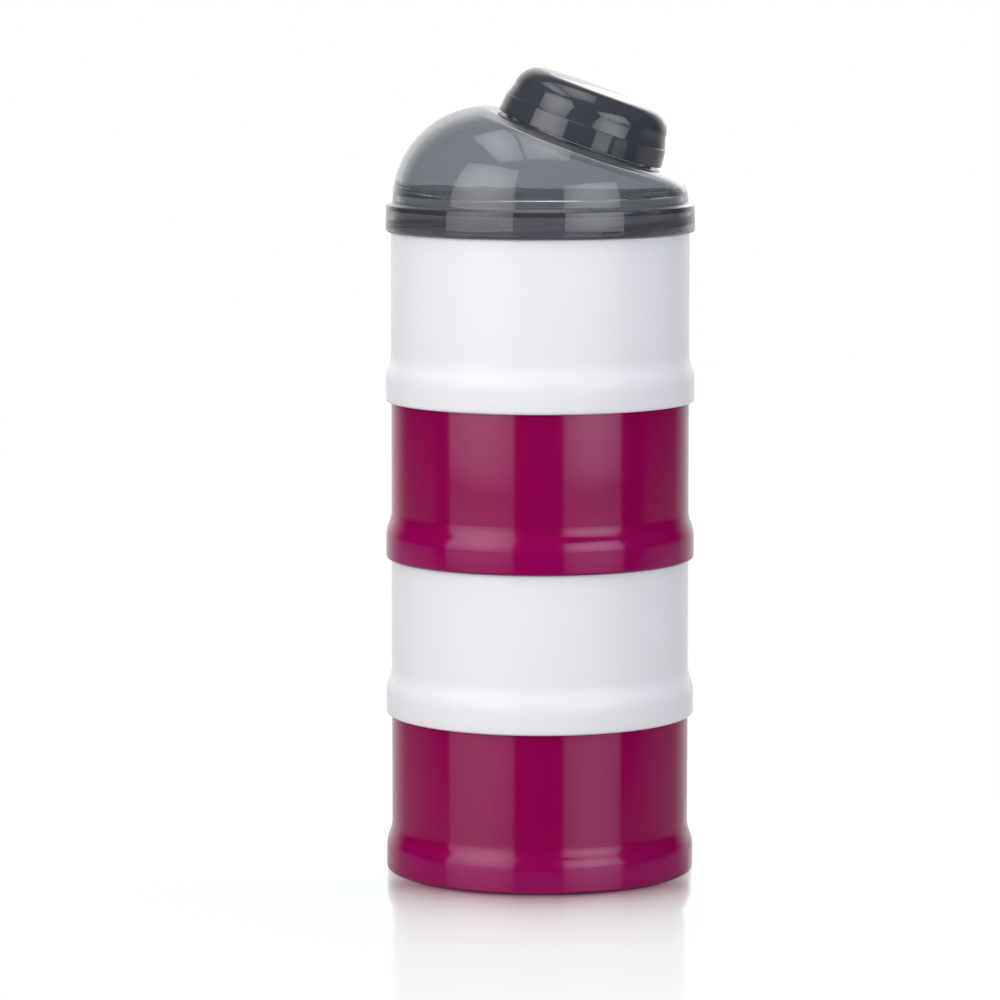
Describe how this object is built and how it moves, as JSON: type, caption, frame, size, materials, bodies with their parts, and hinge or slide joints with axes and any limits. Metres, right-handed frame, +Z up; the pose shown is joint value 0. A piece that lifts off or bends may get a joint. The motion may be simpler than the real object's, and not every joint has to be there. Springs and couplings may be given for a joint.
{
  "type": "formula dispenser",
  "caption": "Round formula powder dispenser: cups that screw together in a stack, under a dome lid with an inclined, capped pouring spout.",
  "frame": {"origin": "centre of the ring that the bottom cup stands on", "axes": "+Z up along the axis of the stack, +X towards the side that the spout leans to"},
  "size_m": [0.08, 0.08, 0.2085],
  "materials": {
    "smoky_plastic": "see-through smoky grey, polished",
    "white_plastic": "glossy white",
    "magenta_plastic": "glossy dark magenta",
    "seal_rubber": "satin, milky silicone"
  },
  "bodies": {
    "stand_cup": {"cup_4": "magenta_plastic", "seal_4": "seal_rubber"},
    "third_cup_ring": {"seal_3": "seal_rubber"},
    "third_cup": {"cup_3": "white_plastic"},
    "second_cup_ring": {"seal_2": "seal_rubber"},
    "second_cup": {"cup_2": "magenta_plastic"},
    "top_cup_ring": {"seal_1": "seal_rubber"},
    "top_cup": {"cup_1": "white_plastic"},
    "lid_ring": {"lid_seal": "seal_rubber"},
    "lid": {"lid_dome": "smoky_plastic"},
    "cap": {"spout_cap": "smoky_plastic"}
  },
  "joints": [
    {"name": "third_cup_rise", "type": "slide", "parent": "stand_cup", "child": "third_cup_ring", "axis": [0, 0, 1], "range_m": [0, 0.01201]},
    {"name": "third_cup_unscrew", "type": "hinge", "parent": "third_cup_ring", "child": "third_cup", "pos_m": [0, 0, 0.1], "axis": [0, 0, 1], "range_deg": [0, 360]},
    {"name": "second_cup_rise", "type": "slide", "parent": "third_cup", "child": "second_cup_ring", "axis": [0, 0, 1], "range_m": [0, 0.01201]},
    {"name": "second_cup_unscrew", "type": "hinge", "parent": "second_cup_ring", "child": "second_cup", "pos_m": [0, 0, 0.1], "axis": [0, 0, 1], "range_deg": [0, 360]},
    {"name": "top_cup_rise", "type": "slide", "parent": "second_cup", "child": "top_cup_ring", "axis": [0, 0, 1], "range_m": [0, 0.01201]},
    {"name": "top_cup_unscrew", "type": "hinge", "parent": "top_cup_ring", "child": "top_cup", "pos_m": [0, 0, 0.1], "axis": [0, 0, 1], "range_deg": [0, 360]},
    {"name": "lid_rise", "type": "slide", "parent": "top_cup", "child": "lid_ring", "axis": [0, 0, 1], "range_m": [0, 0.01201]},
    {"name": "lid_unscrew", "type": "hinge", "parent": "lid_ring", "child": "lid", "pos_m": [0, 0, 0.1], "axis": [0, 0, 1], "range_deg": [0, 360]},
    {"name": "cap_pull", "type": "slide", "parent": "lid", "child": "cap", "axis": [0.342, 0, 0.9397], "range_m": [0, 0.02]}
  ],
  "couplings": [
    {"joint": "third_cup_rise", "follows": "third_cup_unscrew", "m_per_rad": 0.0019099},
    {"joint": "second_cup_rise", "follows": "second_cup_unscrew", "m_per_rad": 0.0019099},
    {"joint": "top_cup_rise", "follows": "top_cup_unscrew", "m_per_rad": 0.0019099},
    {"joint": "lid_rise", "follows": "lid_unscrew", "m_per_rad": 0.0019099}
  ]
}
